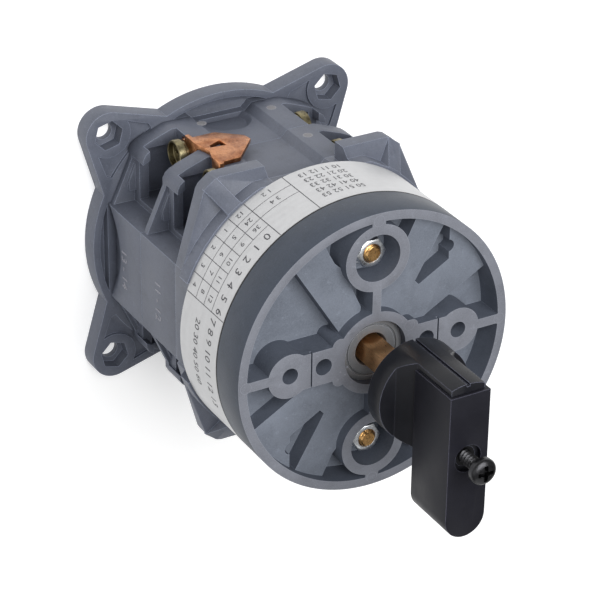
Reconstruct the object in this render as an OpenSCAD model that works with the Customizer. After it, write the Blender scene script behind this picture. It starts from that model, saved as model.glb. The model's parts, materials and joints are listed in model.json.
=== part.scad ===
// Rotary changeover switch with two contact decks, a round front housing and a grip knob.
// The shaft axis is Z. The origin is the centre of the back plate's rear face.

/* [Back plate] */
// Radius of the round back plate
plate_r = 43.5; // [42:0.5:46]
// Thickness of the back plate
plate_t = 6.2; // [5.6:0.2:9]
// Distance between neighbouring lug holes
lug_pitch = 74.8; // [72:0.2:80]
// Radius of each lug's tip
lug_r = 7.4; // [7:0.1:9]
// Angle from a lug's diagonal to the place where its sides leave the disc
lug_spread = 20.8; // [19:0.2:24]
// Radius of the mounting holes
lug_hole_r = 2.75; // [2.2:0.05:3.3]
// Width across the flats of the captive nut pockets
nut_pocket_af = 8.2; // [7:0.1:9]
// Depth of the captive nut pockets
nut_pocket_t = 4; // [2:0.1:4.4]
// Width of the raised border round each lug's face
lug_border = 2; // [1.5:0.1:3]
// Depth of the lug's face below that border
lug_sink = 1; // [0.4:0.1:1.6]
// Width of the plate's raised rim beside the decks
plate_rim = 2.2; // [1.6:0.1:3]
// Depth of the crescent inside that rim
crescent_t = 3; // [1:0.1:4]

/* [Decks] */
// Height of one deck
deck_h = 22.2; // [20:0.2:26]
// Half the distance across the side flats
flat_x = 38.6; // [37.6:0.2:40]
// Half the width of a side flat
flat_y = 15.6; // [14:0.2:16.4]
// Half the width of the middle block
block_x = 18; // [17.4:0.2:19]
// Half the height of the middle block
block_y = 38.05; // [37.4:0.05:39]
// Half the width of the channel's floor in the block
channel_x = 8.35; // [7:0.05:9]
// Depth of the channel
channel_t = 2.25; // [1.5:0.05:3]
// Thickness of the ledge above each side flat
ledge_t = 1.7; // [1.2:0.1:2.4]
// Half the width of that ledge, which is also the shroud's face
shroud_x = 30.4; // [29.6:0.2:31]
// Thickness of the thin wall between terminal chambers
wall_t = 2.2; // [1.8:0.1:3]
// Thickness of the thick wall between terminal chambers
wall_thick_t = 5.7; // [4.6:0.1:6.4]
// Width of the thick wall's flat face
shroud_w = 3.1; // [2.4:0.1:4]
// Height of the hood at the wall's outer corner
hood_t = 4.1; // [3:0.1:5]
// Height of the small pad on the thin wall
pad_t = 1; // [0.6:0.1:1.6]
// Depth of the finger scoop in the rear deck's side flats
scoop_t = 2.6; // [1.5:0.1:3.5]
// Radius of the finger scoop
scoop_r = 21.5; // [18:0.5:24]
// Height of the finger scoop above the deck's rear face
scoop_h = 8.5; // [5:0.5:10]
// Depth of the scoop at the rear end of the rear deck's channels
channel_scoop_t = 1.5; // [0.5:0.1:1.5]
// Height of that scoop above the deck's rear face
channel_scoop_h = 11; // [8.5:0.5:12]

/* [Contacts] */
// Gap between the moving blade's tip and the wall of its cavity
blade_gap = 1.1; // [0.8:0.1:1.6]
// Thickness of each deck's floor
floor_t = 2.5; // [2:0.1:3.2]
// Radius of the rotor's journal
journal_r = 7.9; // [7:0.1:8.4]
// Height of the contact plane above the deck's rear face
contact_h = 13.95; // [13.4:0.05:14.6]
// Thickness of each contact jaw leaf
leaf_t = 1.2; // [0.8:0.1:1.6]
// Thickness of the moving blade
blade_t = 2; // [1.5:0.1:2.4]
// Width of the moving blade
blade_w = 8; // [6:0.2:10]
// Radius to the tip of the moving blade
blade_r = 20.4; // [19.6:0.1:20.5]
// Radius to the inner end of the jaws
jaw_r = 17; // [16:0.2:18]
// Width of a fixed contact's bar
bar_w = 6; // [5:0.2:7]
// Thickness of a fixed contact's terminal pad
tab_t = 1.7; // [1.2:0.1:2.4]
// Half the height of the terminal pad along the shaft axis
tab_h = 4.3; // [3.6:0.1:5]
// Place of the terminal screws above the shaft axis
screw_y = 33.8; // [33:0.1:34.2]
// Radius of the terminal screw's thread
screw_r = 2; // [1.5:0.1:2.4]
// Radius of the washer under the terminal screw's head
washer_r = 3.6; // [3.2:0.1:4]
// Thickness of that washer
washer_t = 1; // [0.6:0.1:1.4]
// Radius of the terminal screw's head
head_r = 4.4; // [3.8:0.1:4.6]
// Height of the terminal screw's head
head_t = 2.6; // [1.8:0.1:3.2]
// Width of the rim round the recess in that head
head_rim = 1.1; // [0.8:0.1:1.4]
// Depth of that recess
head_recess_t = 1.4; // [0.8:0.1:1.5]
// Length of the terminal screw's thread beyond the washer
screw_l = 8; // [6:0.2:9]
// Thickness of the copper link
link_t = 1.5; // [1:0.1:2]

/* [Rotor and detent] */
// Distance across the flats of the square shaft
shaft_w = 6.4; // [5.6:0.1:7]
// Radius of the shaft's turned rear end
tail_r = 3; // [2.4:0.1:3.4]
// Radius of the rotors
rotor_r = 13; // [11.5:0.1:14]
// Radius to the tops of the detent star
star_r = 14; // [13.6:0.1:14.4]
// Thickness of the detent star
star_t = 6; // [4:0.1:6.4]
// Radius of the star's valleys
valley_r = 3.5; // [3:0.1:3.9]
// Radius to the centres of the star's valleys
valley_at = 15.5; // [15.2:0.1:15.8]
// Thickness of the detent springs
spring_t = 0.6; // [0.4:0.05:0.8]
// Half the length of the detent springs
spring_l = 13; // [12:0.2:14]
// Half the angle that the stop dog covers
dog_deg = 11; // [8:0.5:14]
// Radius to the stop dog's tip
dog_r = 18; // [16.5:0.2:19]

/* [Front frame] */
// Height of the frame's square base
base_t = 13.3; // [13:0.1:15]
// Height of the round drum in front of it
drum_h = 21.6; // [19:0.2:26]
// How far the cover stands out beyond the drum
drum_step = 0.3; // [0.1:0.05:0.6]
// Thickness of the drum's wall
drum_wall = 2.5; // [1.8:0.1:3.2]
// Gap between the front deck and the frame's ears
ear_gap = 1.5; // [1:0.1:2]
// Thickness of the ears
ear_t = 4.7; // [4:0.1:5.2]
// How far the cover stands out beyond the ears' long edges
ear_step = 0.5; // [0:0.1:1.4]
// Reach of the ears beside the shaft axis
ear_x = 32.4; // [31.8:0.1:33.4]
// Distance of the ears' inner ends from the middle plane
ear_in_x = 13; // [11.5:0.1:16]
// How far the plain band behind the label stands out from the drum
band_step = 1; // [0.6:0.1:1.4]
// Height of that band
band_h = 4.6; // [3.6:0.1:5]
// Width of the ribs that brace the ears
rib_w = 5; // [4:0.1:6]
// Angle of the ribs from the X axis
rib_deg = 54; // [52:0.5:56]
// Radius of the posts round the tie studs
post_r = 6; // [5:0.1:7]
// Thickness of the label round the drum
label_t = 0.28; // [0.2:0.02:0.4]
// Thickness of the plate that closes the detent
bearing_t = 2; // [1.5:0.1:3]

/* [Front cover] */
// Radius of the front cover
cover_r = 44; // [43.6:0.1:45]
// Height of the front cover
cover_t = 12.4; // [11:0.1:14]
// Thickness of the black seal behind the cover
seal_t = 0.6; // [0.4:0.1:1]
// Thickness of the cover's rim
cover_rim = 2.75; // [2:0.05:3.4]
// Thickness of the cover's floor
cover_floor_t = 3.4; // [2.6:0.1:4]
// Height of the raised fields above the cover's rear face
field_h = 9; // [6:0.1:10]
// Radius of the cover's hub
hub_r = 12.9; // [12.4:0.1:13.4]
// Radius of the recess in the hub
hub_recess_r = 10; // [9.4:0.1:10.6]
// Distance of the front nuts' wells from the shaft axis
stud_y = 30.1; // [29.5:0.1:30.4]
// Outer radius of the wells round the front nuts
well_r = 10.3; // [9.8:0.1:10.6]
// Inner radius of those wells
well_bore_r = 7.2; // [6.8:0.1:7.6]
// Distance of the side bosses from the shaft axis
boss_x = 27.6; // [27:0.1:28.4]
// Radius of the side bosses
boss_r = 6.95; // [6.4:0.05:7.4]
// Radius of the side bosses' holes
boss_hole_r = 2.5; // [2:0.05:3]
// Depth of the side bosses' holes
boss_hole_t = 10; // [6:0.5:11]
// Half the width of the arms between hub and side bosses
arm_y = 5.5; // [5:0.1:6]
// Radius of the shaft's hole in the bushing
bush_bore_r = 5.2; // [5.1:0.05:5.6]
// Depth of the bushing's face below the cover's face
bush_sink = 2.3; // [1.6:0.1:3]

/* [Tie studs] */
// Radius of the tie studs
stud_r = 2.5; // [2:0.05:3]
// Width across the flats of their nuts
stud_nut_af = 8; // [7:0.1:9]
// Height of their nuts
stud_nut_t = 3.5; // [2.5:0.1:4]
// Radius of their flat washers
stud_washer_r = 5; // [4.6:0.1:6]
// Thickness of their flat washers
stud_washer_t = 1; // [0.6:0.1:1.4]
// Radius of their spring washers
spring_washer_r = 4.4; // [4:0.1:5]
// Thickness of their spring washers
spring_washer_t = 1.2; // [0.8:0.1:1.6]

/* [Knob] */
// Gap between the cover's face and the knob's disc
knob_gap = 19.6; // [16:0.2:24]
// Radius of the knob's disc
knob_r = 14.4; // [13.8:0.1:15]
// Thickness of the knob's disc
knob_disc_t = 6.3; // [5:0.1:8]
// Half the width of the neck where it leaves the disc
neck_x = 9.4; // [8:0.1:10]
// Height of the slanted neck
neck_h = 4.1; // [3:0.1:5]
// Half the width of the knob's core
core_x = 5.25; // [5.1:0.05:5.6]
// Height of the core above the neck
core_h = 17; // [15:0.2:20]
// Depth of the shaft in the knob
socket_t = 19.9; // [16:0.1:22]
// Wall of the grip sleeve
grip_wall = 1; // [0.8:0.05:1.4]
// Front wall of the grip sleeve
grip_front_t = 1.4; // [1:0.1:2]
// Gap between the neck and the grip sleeve
grip_gap = 0.5; // [0.4:0.1:1]
// Reach of the grip sleeve's rounded end below the shaft axis
grip_reach = 33.4; // [30:0.2:40]
// Reach of the grip sleeve's open end above the shaft axis
grip_top = 11.9; // [11:0.1:12.6]
// Place of the knob screw below the shaft axis
knob_screw_y = 8.2; // [7.8:0.1:9]
// Radius of the knob screw's thread
knob_screw_r = 2; // [1.5:0.1:2.2]
// Radius of the knob screw's head
knob_head_r = 3.95; // [3.4:0.05:4.4]
// Height of the knob screw's head
knob_head_t = 3.1; // [2.4:0.1:3.6]
// Length of the knob screw's thread
knob_screw_l = 14; // [12:0.5:14.5]
// How far the knob screw stands backed out
screw_out = 7.4; // [0:0.1:8]

/* [Fits] */
// Clearance of pieces that fit inside each other
fit = 0.1; // [0.05:0.01:0.14]
// Clearance between turning and fixed faces
run = 0.3; // [0.25:0.05:0.4]
// Clearance of threads
thread_fit = 0.05; // [0.02:0.01:0.08]

/* [Hidden] */
$fn = 96;
over = 1;

// Turn from rest to each switched position, two valleys of the star
switch_deg = 60;

z_front_deck = plate_t + deck_h;
z_frame = z_front_deck + deck_h;
z_drum = z_frame + base_t;
z_seal = z_drum + drum_h;
z_cover = z_seal + seal_t;
z_face = z_cover + cover_t;
z_knob = z_face + knob_gap;
z_neck = z_knob + knob_disc_t;
z_core = z_neck + neck_h;
z_core_top = z_core + core_h;

lug_at = lug_pitch / 2;
ledge_y = flat_y + ledge_t;
channel_y = block_y - channel_t;
channel_edge_x = channel_x + channel_t;
channel_scoop_r = channel_x - 0.4;
cavity_r = blade_r + blade_gap;
jaw_gap = blade_t + 2 * run;
jaw_t = jaw_gap + 2 * leaf_t;
hole_r = stud_r + fit;
journal_hole_r = journal_r + fit;
hex_to_r = 1 / cos(30);
insert_t = 6;
insert_r = 3;
nut_seat_z = z_cover + cover_floor_t;
front_nut_z = nut_seat_z + stud_washer_t + spring_washer_t;
tail_floor = 1.6;
rear_nut_z = 0.6;
z_ear = z_frame + ear_gap;
z_ear_top = z_ear + ear_t;
z_band = z_drum - band_h;
drum_r = cover_r - drum_step;
band_r = drum_r + band_step;
ear_y = cover_r - ear_step;
band_y = ear_y - 2.6;
z_star = z_frame + floor_t + run;
z_dog = z_star + star_t;
drum_floor_t = 1.2;
side_cut = 0.7;
z_bearing = z_drum + drum_floor_t;
dog_gap = 0.2;
star_journal_r = 6.9;
spring_nose_r = valley_r - run;
spring_y = valley_at + spring_nose_r - spring_t / 2;
z_stud_end = front_nut_z + stud_nut_t + 0.9;
tab_low = 26;
tab_high = block_y - 1;
bush_flange_t = 4;
bush_spigot_r = 6.9;
bush_z = z_face - bush_sink;

// Signs of X and Y in the four corners, as seen from the front
UPPER_LEFT = [-1, 1];
UPPER_RIGHT = [1, 1];
LOWER_LEFT = [-1, -1];
LOWER_RIGHT = [1, -1];

grey = "#7d828c";
black = "#26262b";
brass = "#b98a45";
copper = "#b9743f";
zinc = "#c9ccd0";

// Outline points of one quarter, from the Y axis to the X axis, closed over all four quarters
function backwards(points) = [for (i = [len(points) - 1:-1:0]) points[i]];
function all_round(points) = concat(
    points,
    [for (p = backwards(points)) [p.x, -p.y]],
    [for (p = points) [-p.x, -p.y]],
    [for (p = backwards(points)) [-p.x, p.y]]
);

// Where a line from an outside point touches a circle, on the circle's left side
function touch_point(from, centre, r) =
    let (d = from - centre, a = atan2(d.y, d.x) - acos(r / norm(d)))
    centre + r * [cos(a), sin(a)];

module quarters() {
    for (sx = [-1, 1], sy = [-1, 1]) {
        mirrored(sx, sy) children();
    }
}

module mirrored(sx, sy) {
    mirror([sx < 0 ? 1 : 0, 0, 0]) mirror([0, sy < 0 ? 1 : 0, 0]) children();
}

module sector(r, half_deg, h) {
    linear_extrude(h) intersection() {
        circle(r);
        polygon(2 * r * [[0, 0], [cos(half_deg), -sin(half_deg)], [cos(half_deg), sin(half_deg)]]);
    }
}

module stud_holes(z, h, r = hole_r) {
    for (side = [-1, 1]) {
        translate([0, side * stud_y, z]) cylinder(r = r, h = h);
    }
}

// Back plate

module lug(tip_r, foot_r, spread, h) {
    foot = foot_r * [cos(45 + spread), sin(45 + spread)];
    touch = touch_point(foot, [lug_at, lug_at], tip_r);
    translate([lug_at, lug_at, 0]) cylinder(r = tip_r, h = h);
    linear_extrude(h) polygon([[lug_r, lug_r], foot, touch, [touch.y, touch.x], [foot.y, foot.x]]);
}

// Outline of the plate's face under the decks, notched where their channels end
module plate_land() {
    difference() {
        square([2 * flat_x, 2 * block_y], center = true);
        for (side = [-1, 1]) {
            polygon([
                [channel_edge_x + over, side * (block_y + over)], [channel_x, side * channel_y],
                [-channel_x, side * channel_y], [-channel_edge_x - over, side * (block_y + over)]
            ]);
        }
    }
}

module back_plate() {
    boss_ring_r = lug_r - 0.2;
    color(grey) difference() {
        union() {
            cylinder(r = plate_r, h = plate_t);
            quarters() lug(lug_r, plate_r - 0.3, lug_spread, plate_t);
        }
        quarters() {
            translate([0, 0, plate_t - lug_sink]) difference() {
                lug(lug_r - lug_border, plate_r + lug_border, lug_spread - 8, lug_sink + over);
                translate([0, 0, -over]) cylinder(r = plate_r, h = plate_t);
                translate([lug_at, lug_at, -over]) cylinder(r = boss_ring_r, h = plate_t);
            }
            translate([lug_at, lug_at, -over]) cylinder(r = lug_hole_r, h = plate_t + 2 * over);
            translate([lug_at, lug_at, plate_t - nut_pocket_t]) rotate([0, 0, 45])
                cylinder(r = nut_pocket_af / 2 * hex_to_r, h = nut_pocket_t + over, $fn = 6);
        }
        translate([0, 0, plate_t - crescent_t]) linear_extrude(crescent_t + over) difference() {
            circle(plate_r - plate_rim);
            plate_land();
        }
        translate([0, 0, tail_floor]) cylinder(r = tail_r + fit / 2, h = plate_t);
        stud_holes(-over, plate_t + 2 * over);
        for (side = [-1, 1]) {
            translate([0, side * stud_y, -over])
                cylinder(r = (stud_nut_af / 2 + fit) * hex_to_r, h = rear_nut_z + stud_nut_t + over, $fn = 6);
        }
    }
}

// Decks

function core_points() = [
    [channel_x, channel_y], [channel_edge_x, block_y], [block_x, block_y], [block_x, ledge_y],
    [shroud_x, ledge_y], [shroud_x, flat_y], [flat_x, flat_y]
];

wall_corner = [31.1, 31.8];
wall_top_t = 4.6;

// Outline of the wall between chambers: a sloping side, an upright, a rounded corner and a sloping top
module wall_outline() {
    top = [block_x + 1.5, block_y];
    shoulder = [27.2, 35.2];
    polygon([
        [block_x - over, flat_y], [flat_x - 1.2, flat_y], [wall_corner.x, wall_corner.y - 2.2],
        wall_corner, [30.3, 33.4], [28.8, 34.5], shoulder, [26, 35.75], top, [block_x - over, block_y]
    ]);
}

module chamber_wall() {
    linear_extrude(wall_t) wall_outline();
    linear_extrude(wall_thick_t) intersection() {
        wall_outline();
        difference() {
            translate([block_x - over, flat_y]) square([shroud_x - block_x + over, block_y]);
            square([shroud_x - shroud_w, block_y - wall_top_t]);
        }
    }
    hood = [[31.1, 30.3], wall_corner, [30.3, 33.4], [28.8, 34.5], [28.7, 31.5]];
    linear_extrude(wall_thick_t + hood_t) polygon(hood);
    pad = [
        [shroud_x - over, 28.2], [shroud_x + 0.2, 27.8], [32.8, 22.3], [32.5, 19.4], [shroud_x - over, 19.4]
    ];
    linear_extrude(wall_t + pad_t) polygon(pad);
}

// Bar and terminal pad of one fixed contact, drawn in the upper right quarter
module contact_outline(gap = 0) {
    intersection() {
        rotate([0, 0, switch_deg])
            translate([jaw_r - gap, -bar_w / 2 - gap]) square([2 * block_x, bar_w + 2 * gap]);
        square([block_x, tab_high]);
    }
}

module tab_outline(gap = 0) {
    translate([block_x - tab_t - gap, tab_low - gap])
        square([tab_t + gap + (gap > 0 ? over : 0), tab_high - tab_low + 2 * gap]);
}

module deck_body() {
    difference() {
        union() {
            linear_extrude(deck_h) polygon(all_round(core_points()));
            quarters() chamber_wall();
        }
        translate([0, 0, floor_t]) cylinder(r = cavity_r, h = deck_h);
        translate([0, 0, -over]) cylinder(r = journal_hole_r, h = deck_h);
        stud_holes(-over, deck_h + 2 * over);
        quarters() {
            translate([0, 0, contact_h - jaw_t / 2 - fit]) linear_extrude(deck_h) contact_outline(fit);
            translate([0, 0, contact_h - tab_h - fit]) linear_extrude(deck_h) tab_outline(fit);
            translate([block_x + over, screw_y, contact_h]) rotate([0, -90, 0])
                cylinder(r = screw_r + run, h = screw_l + over + run);
        }
    }
}

// Scoop that narrows by the slope times its depth
module scoop_cut(r, t, slope) {
    cylinder(r1 = r, r2 = r - slope * t, h = t);
}

module rear_deck() {
    color(grey) translate([0, 0, plate_t]) difference() {
        deck_body();
        for (side = [-1, 1]) {
            translate([side * (flat_x + 0.01), 0, scoop_h - scoop_r])
                rotate([0, -side * 90, 0]) scoop_cut(scoop_r, scoop_t, 2);
            translate([0, side * (channel_y + 0.01), channel_scoop_h - channel_scoop_r])
                rotate([side * 90, 0, 0]) scoop_cut(channel_scoop_r, channel_scoop_t, 1);
        }
    }
}

module front_deck() {
    color(grey) translate([0, 0, z_front_deck]) deck_body();
}

module fixed_contact(z, corner) {
    color(copper) translate([0, 0, z + contact_h]) mirrored(corner.x, corner.y) difference() {
        union() {
            translate([0, 0, -jaw_t / 2]) linear_extrude(jaw_t) contact_outline();
            translate([0, 0, -tab_h]) linear_extrude(2 * tab_h) tab_outline();
        }
        translate([0, 0, -jaw_gap / 2]) cylinder(r = cavity_r + 2, h = jaw_gap);
        translate([0, screw_y, 0]) rotate([0, 90, 0]) cylinder(r = screw_r + thread_fit, h = 2 * block_x);
    }
}

module terminal_screw(z, corner, lift = 0) {
    color(brass) translate([0, corner.y * screw_y, z + contact_h]) mirrored(corner.x, 1)
        translate([block_x + lift, 0, 0]) rotate([0, 90, 0]) difference() {
            union() {
                cylinder(r = washer_r, h = washer_t);
                translate([0, 0, washer_t]) cylinder(r = head_r, h = head_t);
                translate([0, 0, -screw_l]) cylinder(r = screw_r, h = screw_l + washer_t);
            }
            translate([0, 0, washer_t + head_t - head_recess_t]) cylinder(r = head_r - head_rim, h = head_t);
        }
}

// Link between the upper left terminals of both decks

module copper_link() {
    edge = -block_x - link_t;
    rear_z = plate_t + contact_h;
    front_z = z_front_deck + contact_h;
    rear_leg = [plate_t + deck_h - 5.9, plate_t + deck_h - 0.9];
    front_leg = [z_front_deck + wall_thick_t + 3.4, z_front_deck + wall_thick_t + 7.4];
    color(copper) difference() {
        union() {
            translate([0, block_y + link_t, 0]) rotate([90, 0, 0]) linear_extrude(link_t) polygon([
                [edge, rear_leg.x], [-10.8, rear_leg.x], [-3.9, z_front_deck], [-3.4, z_front_deck + 3],
                [-12, front_leg.y - 0.5], [edge, front_leg.y], [edge, front_leg.x],
                [-block_x, z_front_deck + 4.6], [edge, rear_leg.y]
            ]);
            translate([edge, 0, 0]) {
                link_leg(rear_z, rear_leg);
                link_leg(front_z, front_leg);
            }
        }
        translate([0, block_y + 2 * link_t, 0]) rotate([90, 0, 0]) linear_extrude(3 * link_t) polygon([
            [-16.4, z_front_deck + 1.6], [-12.1, z_front_deck - 0.3],
            [-11.7, z_front_deck + 3.3], [-16.5, z_front_deck + 2.8]
        ]);
        for (z = [rear_z, front_z]) {
            translate([edge - over, screw_y, z]) rotate([0, 90, 0])
                cylinder(r = screw_r + fit, h = link_t + 2 * over);
        }
    }
}

module link_leg(z, edges) {
    pad_r = 4.1;
    translate([0, screw_y, z]) rotate([0, 90, 0]) cylinder(r = pad_r, h = link_t);
    low = min(edges.x, z);
    translate([0, screw_y, low]) cube([link_t, block_y + link_t - screw_y, max(edges.y, z) - low]);
}

// Front frame

function frame_points() = [
    [channel_x, channel_y], [channel_edge_x, block_y], [block_x, block_y], [block_x, flat_y], [flat_x, flat_y]
];

function ear_corner() = [for (p = [[-5.1, 0], [-3.5, -0.5], [-0.6, -2.8], [0.2, -4.1]]) [ear_x, ear_y] + p];

function ear_points() = concat(
    [[channel_x, channel_y], [channel_edge_x, block_y], [ear_in_x, block_y], [ear_in_x, ear_y]],
    ear_corner(),
    [[flat_x + 0.5, flat_y + side_cut], [flat_x, flat_y]]
);

module ear_rib() {
    inner_r = drum_r - 6;
    foot_r = norm([ear_x - 2.1, ear_y - 1.65]);
    top_r = band_r + 0.2;
    rotate([0, 0, rib_deg]) hull() {
        translate([inner_r, -rib_w / 2, z_ear_top - 1]) cube([foot_r - inner_r, rib_w, 1]);
        translate([inner_r, -rib_w / 2, z_drum - 1]) cube([top_r - inner_r, rib_w, 1]);
    }
}

module band_outline() {
    intersection() {
        circle(band_r);
        square([3 * band_r, 2 * band_y], center = true);
    }
}

// Sloping shoulder from the ears to a plain band round the foot of the drum
module fairing() {
    hull() {
        translate([0, 0, z_ear_top - 0.01]) linear_extrude(0.01)
            polygon(all_round(concat(ear_corner(), [[flat_x + 0.5, flat_y + side_cut]])));
        translate([0, 0, z_band]) linear_extrude(0.01) band_outline();
    }
    translate([0, 0, z_band]) linear_extrude(band_h) band_outline();
}

module front_frame() {
    color(grey) difference() {
        union() {
            translate([0, 0, z_frame]) linear_extrude(base_t) polygon(all_round(frame_points()));
            translate([0, 0, z_ear]) linear_extrude(ear_t) polygon(all_round(ear_points()));
            difference() {
                fairing();
                for (side = [-1, 1]) {
                    translate([side * (flat_x + 5), 0, z_ear_top])
                        cube([10, 2 * (flat_y + side_cut), 3 * base_t], center = true);
                    translate([0, side * (channel_y + 10), z_ear_top])
                        cube([2 * ear_in_x, 20, 3 * base_t], center = true);
                }
            }
            quarters() ear_rib();
            translate([0, 0, z_drum]) difference() {
                cylinder(r = drum_r, h = drum_h);
                cylinder(r = drum_r - drum_wall, h = drum_h + over);
            }
            translate([0, 0, z_drum]) cylinder(r = drum_r, h = drum_floor_t);
            for (side = [-1, 1]) {
                translate([0, side * stud_y, z_drum - over])
                    cylinder(r = post_r, h = z_cover - z_drum + over);
            }
        }
        translate([0, 0, z_frame + floor_t]) cylinder(r = cavity_r, h = base_t);
        translate([0, 0, z_frame - over]) cylinder(r = journal_hole_r, h = base_t);
        stud_holes(z_frame - over, z_cover - z_frame + 2 * over);
        for (side = [-1, 1]) {
            translate([-spring_l - fit, side * spring_y - spring_t / 2 - fit, z_frame + floor_t])
                cube([2 * (spring_l + fit), spring_t + 2 * fit, base_t]);
        }
    }
}

// Plate that closes the detent, with the two stops for the dog on its rear face
module bearing_plate() {
    stop_deg = 14;
    stop_angle = switch_deg + dog_deg + stop_deg + 1;
    color(grey) difference() {
        union() {
            translate([0, 0, z_bearing]) linear_extrude(bearing_t) intersection() {
                circle(drum_r - drum_wall - run);
                union() {
                    circle(cavity_r + 2.5);
                    square([2 * (post_r + 4), 2 * (stud_y + post_r + 2)], center = true);
                }
            }
            for (side = [-1, 1]) {
                translate([0, 0, z_dog + dog_gap]) rotate([0, 0, side * stop_angle]) difference() {
                    sector(cavity_r - run, stop_deg, z_bearing - z_dog - dog_gap);
                    translate([0, 0, -over]) cylinder(r = rotor_r + run, h = base_t);
                }
            }
        }
        for (side = [-1, 1]) {
            translate([0, side * stud_y, z_bearing - over])
                cylinder(r = post_r + fit, h = bearing_t + 2 * over);
        }
        translate([0, 0, z_bearing - over]) cylinder(r = star_journal_r + fit, h = bearing_t + 2 * over);
    }
}

// Ring between two radii
module ring(outer_r, inner_r, h) {
    difference() {
        cylinder(r = outer_r, h = h);
        translate([0, 0, -over]) cylinder(r = inner_r, h = h + 2 * over);
    }
}

module label_band() {
    color("#d3d5d6") translate([0, 0, z_drum]) ring(drum_r + 0.02 + label_t, drum_r + 0.02, drum_h - 0.1);
}

module seal_ring() {
    color(black) translate([0, 0, z_seal]) ring(cover_r, drum_r - drum_wall, seal_t);
}

// Front cover, drawn from its rear face upwards

// Half of the pattern of raised fields, repeated by half a turn
module raised_fields() {
    rim_r = cover_r - 1;
    right = concat(
        [for (p = [[0.36, 0.933], [0.267, 0.744], [0.186, 0.651]]) rim_r * p],
        [[1, 0.651 * rim_r], [1, hub_r - 1], [hub_r - 2, 1], [0.44 * rim_r, arm_y + 0.6]],
        [for (p = [[0.912, 0.41], [0.93, 0.93]]) rim_r * p]
    );
    left = concat(
        [for (p = [[-0.618, 0.786], [-0.258, 0.214], [-0.209, 0.14]]) rim_r * p],
        [[-3.2, hub_r], [-3.2, hub_r + 1.2]],
        [for (p = [[-0.147, 0.484], [-0.186, 0.605], [-0.277, 0.693], [-0.397, 0.918], [-0.75, 1]]) rim_r * p]
    );
    for (turn = [0, 180]) rotate([0, 0, turn]) intersection() {
        circle(rim_r);
        union() {
            polygon(right);
            polygon(left);
        }
    }
}

// Slot in the right field, widening to the rim, with a round catch in its side
module field_slots() {
    slot_r = cover_r - cover_rim;
    for (turn = [0, 180]) rotate([0, 0, turn]) {
        intersection() {
            circle(slot_r);
            polygon(slot_r * [[0.592, 0.848], [0.352, 0.429], [0.383, 0.393], [0.621, 0.531], [0.621, 0.97]]);
        }
        translate(slot_r * [0.613, 0.633]) circle(1.9);
    }
}

module front_cover() {
    web_w = 4.3;
    side_web_w = 3;
    hub_web_w = 2.75;
    slit_x = boss_x - boss_r + 0.1;
    post_at = [11.7, 5.3];
    cap_hole_x = 16.85;
    bore_h = cover_t + 2 * over;
    color(grey) translate([0, 0, z_cover]) difference() {
        union() {
            cylinder(r = cover_r, h = cover_floor_t);
            ring(cover_r, cover_r - cover_rim, cover_t);
            linear_extrude(field_h) difference() {
                raised_fields();
                field_slots();
            }
            linear_extrude(cover_t) intersection() {
                circle(cover_r - cover_rim / 2);
                union() {
                    circle(hub_r);
                    square([2 * boss_x, 2 * arm_y], center = true);
                    square([2 * cover_r, side_web_w], center = true);
                    for (side = [-1, 1]) {
                        translate([0, side * stud_y]) circle(well_r);
                        translate([side * boss_x, 0]) circle(boss_r);
                        translate([0, side * (stud_y + cover_r) / 2])
                            square([web_w, cover_r - stud_y], center = true);
                    }
                    square([hub_web_w, 2 * stud_y], center = true);
                    quarters() translate(post_at) circle(2.3);
                }
            }
        }
        translate([0, 0, bush_z - z_cover - bush_flange_t]) cylinder(r = hub_recess_r, h = cover_t);
        translate([0, 0, -over]) cylinder(r = bush_spigot_r + fit, h = bore_h);
        for (side = [-1, 1]) {
            translate([0, side * stud_y, cover_floor_t]) cylinder(r = well_bore_r, h = cover_t);
            translate([side * boss_x, 0, cover_t - boss_hole_t])
                cylinder(r = boss_hole_r, h = boss_hole_t + over);
            translate([side * cap_hole_x, 0, cover_floor_t]) cylinder(r = 2.6, h = cover_t);
            translate([side * slit_x - 0.25, -2 * arm_y, cover_t - 1.2]) cube([0.5, 4 * arm_y, 2]);
        }
        stud_holes(-over, bore_h);
    }
}

module shaft_bushing() {
    groove_r = 8;
    color("#8d9199") difference() {
        union() {
            translate([0, 0, bush_z - bush_flange_t]) cylinder(r = hub_recess_r - fit, h = bush_flange_t);
            translate([0, 0, z_cover + 0.4])
                cylinder(r = bush_spigot_r, h = bush_z - z_cover - bush_flange_t);
        }
        translate([0, 0, bush_z - 0.6]) ring(groove_r + 0.3, groove_r - 0.3, 1);
        translate([0, 0, z_cover - over]) cylinder(r = bush_bore_r, h = cover_t);
    }
}

// Tie studs with their nuts and washers

module tie_stud(side) {
    color(brass) translate([0, side * stud_y, rear_nut_z]) cylinder(r = stud_r, h = z_stud_end - rear_nut_z);
}

module stud_nut(side, z) {
    color(zinc) translate([0, side * stud_y, z]) difference() {
        cylinder(r = stud_nut_af / 2 * hex_to_r, h = stud_nut_t, $fn = 6);
        translate([0, 0, -over]) cylinder(r = stud_r + thread_fit, h = stud_nut_t + 2 * over);
    }
}

module stud_washer(side) {
    color(zinc) translate([0, side * stud_y, nut_seat_z]) ring(stud_washer_r, hole_r, stud_washer_t);
}

module spring_washer(side) {
    color(zinc) translate([0, side * stud_y, nut_seat_z + stud_washer_t]) difference() {
        ring(spring_washer_r, hole_r, spring_washer_t);
        translate([0, -0.4, -over]) cube([2 * spring_washer_r, 0.8, 4]);
    }
}

// Shaft, rotors and blades

module square_bore(z, h) {
    w = shaft_w + 2 * thread_fit;
    translate([-w / 2, -w / 2, z]) cube([w, w, h]);
}

module shaft() {
    square_from = plate_t + 0.2;
    square_h = z_knob + socket_t - square_from;
    color(brass) {
        translate([0, 0, tail_floor + run]) cylinder(r = tail_r, h = square_from - tail_floor - run);
        translate([-shaft_w / 2, -shaft_w / 2, square_from]) cube([shaft_w, shaft_w, square_h]);
    }
}

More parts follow.
